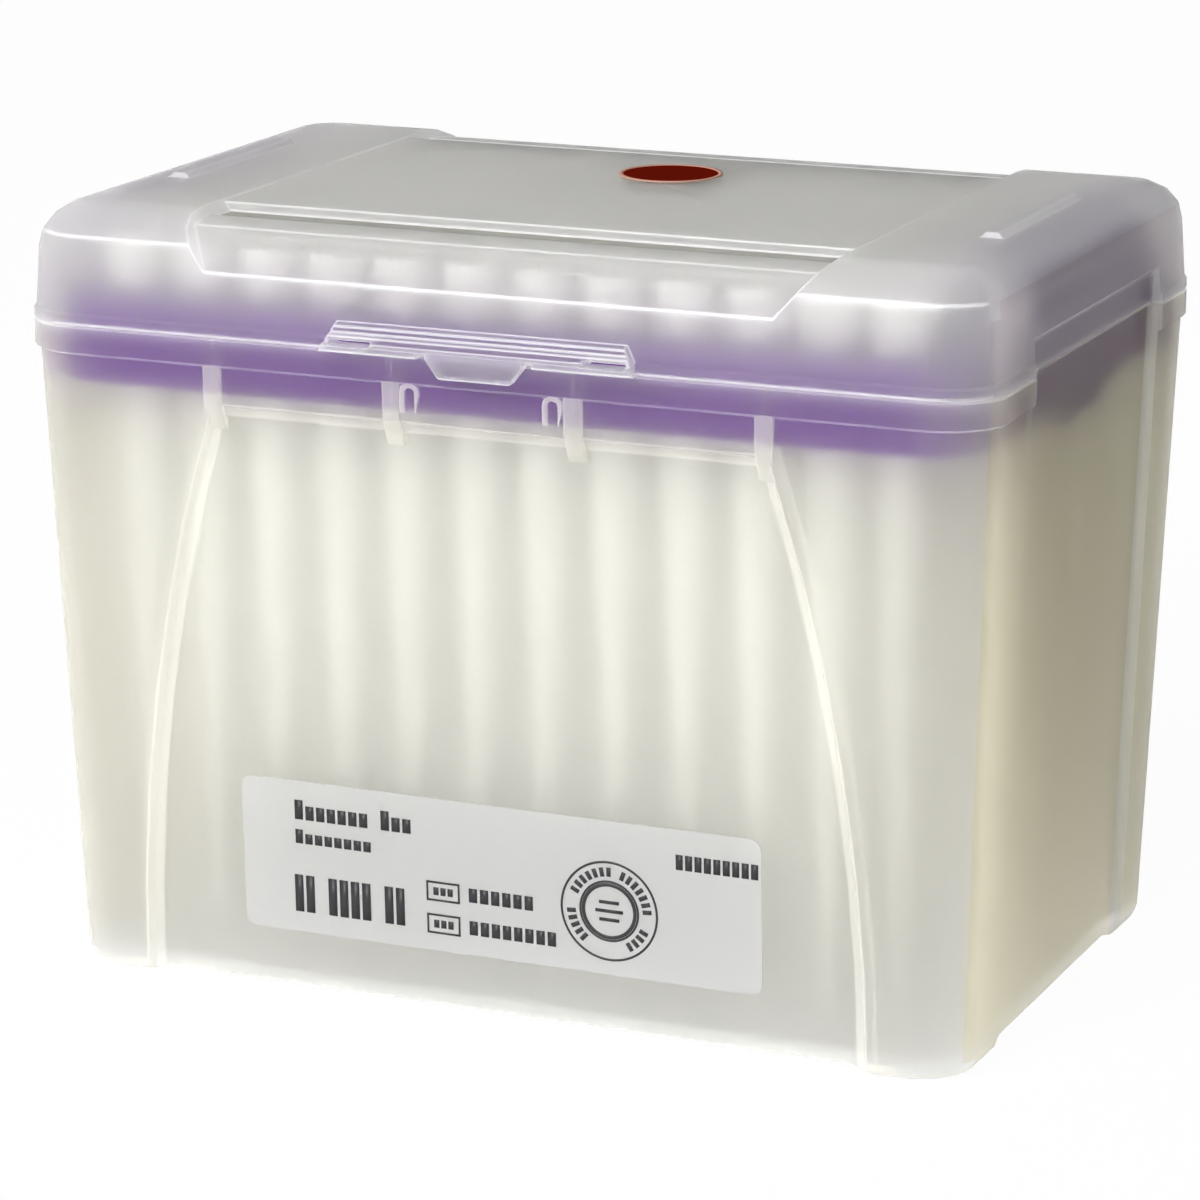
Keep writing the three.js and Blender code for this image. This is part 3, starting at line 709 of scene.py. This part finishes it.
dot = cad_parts["indicator_dot"]
dot.data.materials.clear()
material, tree, surface = finish("indicator print")
clouds = noise(tree, STICKER_CLOUDS)
mottle(tree, surface, clouds, DOT_PALE, DOT_DEEP, DOT_ROUGHNESS, STICKER_UNEVENNESS)
surface.inputs["Specular IOR Level"].default_value = 0
dot.data.materials.append(material)

dot_low, dot_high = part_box("indicator_dot")
dot_middle = (dot_low + dot_high) / 2
dot_radius = (dot_high.x - dot_low.x) / 2
edge_shape = bmesh.new()
edge_rims = []
for reach in (dot_radius, dot_radius + STICKER_MARGIN):
    made = bmesh.ops.create_circle(edge_shape, segments=RING_SIDES, radius=reach,
                                   matrix=moved(dot_middle.x, dot_middle.y, dot_high.z))["verts"]
    edge_rims += {edge for corner in made for edge in corner.link_edges}
bmesh.ops.bridge_loops(edge_shape, edges=edge_rims)
dot_edge = new_piece("dot_edge", edge_shape)
edge_depth = dot_edge.modifiers.new("film", "SOLIDIFY")
edge_depth.thickness = dot_high.z - dot_low.z
edge_depth.offset = 0
material, tree, surface = finish("sticker edge")
clouds = noise(tree, STICKER_CLOUDS)
mottle(tree, surface, clouds, STICKER_PALE, STICKER_DEEP, STICKER_ROUGHNESS, STICKER_UNEVENNESS)
surface.inputs["Transmission Weight"].default_value = STICKER_CLEARNESS
dot_edge.data.materials.append(material)
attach(dot_edge, "lid")


# ---- Studio ----
# The box stands on a white sweep. A large soft lamp lights it from the front left, and the room is
# dimmer towards the right.

CAMERA_YAW = 23.546
CAMERA_PITCH = 14.752
CAMERA_ROLL = -0.118
CAMERA_PLACE = (0.23057, -0.53504, 0.19749)
CAMERA_LENS = 143.43
CAMERA_SENSOR = 36
CAMERA_NEAR = 0.05
FLOOR_HALF = 4
FLOOR_WHITE = (0.9, 0.9, 0.9, 1)
FLOOR_ROUGHNESS = 0.9
FLOOR_GLOW = 0.97
FLOOR_THROUGH = 0.6
LAMP_PLACE = (-0.25, -1.22, 0.98)
LAMP_AIM = (0, 0, 0.05)
LAMP_SIZE = 0.9
LAMP_POWER = 32
ROOM_LEFT = 0.28
ROOM_RIGHT = 0.04
ROOM_THROUGH = 1.5
LIGHT_BOUNCES = 9
DIFFUSE_BOUNCES = 3

camera_data = bpy.data.cameras.new("camera")
camera_data.lens = CAMERA_LENS
camera_data.sensor_width = CAMERA_SENSOR
camera_data.clip_start = CAMERA_NEAR
camera = bpy.data.objects.new("camera", camera_data)
bpy.context.scene.collection.objects.link(camera)
turn = (Matrix.Rotation(math.radians(CAMERA_YAW), 3, "Z")
        @ Matrix.Rotation(math.radians(90 - CAMERA_PITCH), 3, "X")
        @ Matrix.Rotation(math.radians(CAMERA_ROLL), 3, "Z"))
camera.rotation_euler = turn.to_euler()
camera.location = CAMERA_PLACE
bpy.context.scene.camera = camera


def worked_out(tree, operation, *amounts):
    """The result of operation on amounts, each of which is a number or a socket."""
    step = tree.nodes.new("ShaderNodeMath")
    step.operation = operation
    for place, amount in zip(step.inputs, amounts):
        if isinstance(amount, bpy.types.NodeSocket):
            tree.links.new(amount, place)
        else:
            place.default_value = amount
    return step.outputs[0]


def seen_through(tree, ray, low, high):
    """A level that is high for a ray that has passed through plastic or been reflected, else low."""
    reflected = ray.outputs["Is Glossy Ray"]
    passed = ray.outputs["Is Transmission Ray"]
    either = worked_out(tree, "MAXIMUM", reflected, passed)
    return worked_out(tree, "MULTIPLY_ADD", either, high - low, low)


floor_shape = bmesh.new()
bmesh.ops.create_grid(floor_shape, x_segments=1, y_segments=1, size=FLOOR_HALF)
floor = new_piece("floor", floor_shape)
material, tree, surface = finish("white sweep")
surface.inputs["Base Color"].default_value = FLOOR_WHITE
surface.inputs["Roughness"].default_value = FLOOR_ROUGHNESS
glow = tree.nodes.new("ShaderNodeEmission")
ray = tree.nodes.new("ShaderNodeLightPath")
through = seen_through(tree, ray, 0, FLOOR_THROUGH)
seen = worked_out(tree, "MAXIMUM", ray.outputs["Is Camera Ray"], through)
blend = tree.nodes.new("ShaderNodeMixShader")
tree.links.new(worked_out(tree, "MULTIPLY", seen, FLOOR_GLOW), blend.inputs["Fac"])
tree.links.new(surface.outputs["BSDF"], blend.inputs[1])
tree.links.new(glow.outputs["Emission"], blend.inputs[2])
tree.links.new(blend.outputs["Shader"], tree.nodes["Material Output"].inputs["Surface"])
floor.data.materials.append(material)

room = bpy.data.worlds.new("room")
room.use_nodes = True
# The room is dim and even, so it needs no rays of its own.
room.cycles.sampling_method = "NONE"
bpy.context.scene.world = room
tree = room.node_tree
heading = tree.nodes.new("ShaderNodeTexCoord")
split = tree.nodes.new("ShaderNodeSeparateXYZ")
tree.links.new(heading.outputs["Generated"], split.inputs["Vector"])
side = tree.nodes.new("ShaderNodeMapRange")
side.inputs["From Min"].default_value = -1
side.inputs["To Min"].default_value = ROOM_LEFT
side.inputs["To Max"].default_value = ROOM_RIGHT
tree.links.new(split.outputs["X"], side.inputs["Value"])
ray = tree.nodes.new("ShaderNodeLightPath")
through = seen_through(tree, ray, 1, ROOM_THROUGH)
level = worked_out(tree, "MULTIPLY", side.outputs["Result"], through)
seen = worked_out(tree, "MAXIMUM", ray.outputs["Is Camera Ray"], level)
tree.links.new(seen, tree.nodes["Background"].inputs["Strength"])
tree.nodes["Background"].inputs["Color"].default_value = (1, 1, 1, 1)

lamp_data = bpy.data.lights.new("soft lamp", "AREA")
lamp_data.shape = "SQUARE"
lamp_data.size = LAMP_SIZE
lamp_data.energy = LAMP_POWER
lamp = bpy.data.objects.new("soft lamp", lamp_data)
bpy.context.scene.collection.objects.link(lamp)
lamp.location = LAMP_PLACE
lamp_aim = Vector(LAMP_AIM) - Vector(LAMP_PLACE)
lamp.rotation_euler = lamp_aim.to_track_quat("-Z", "Y").to_euler()

bpy.context.scene.cycles.max_bounces = LIGHT_BOUNCES
bpy.context.scene.cycles.diffuse_bounces = DIFFUSE_BOUNCES
bpy.context.scene.view_settings.view_transform = "Standard"
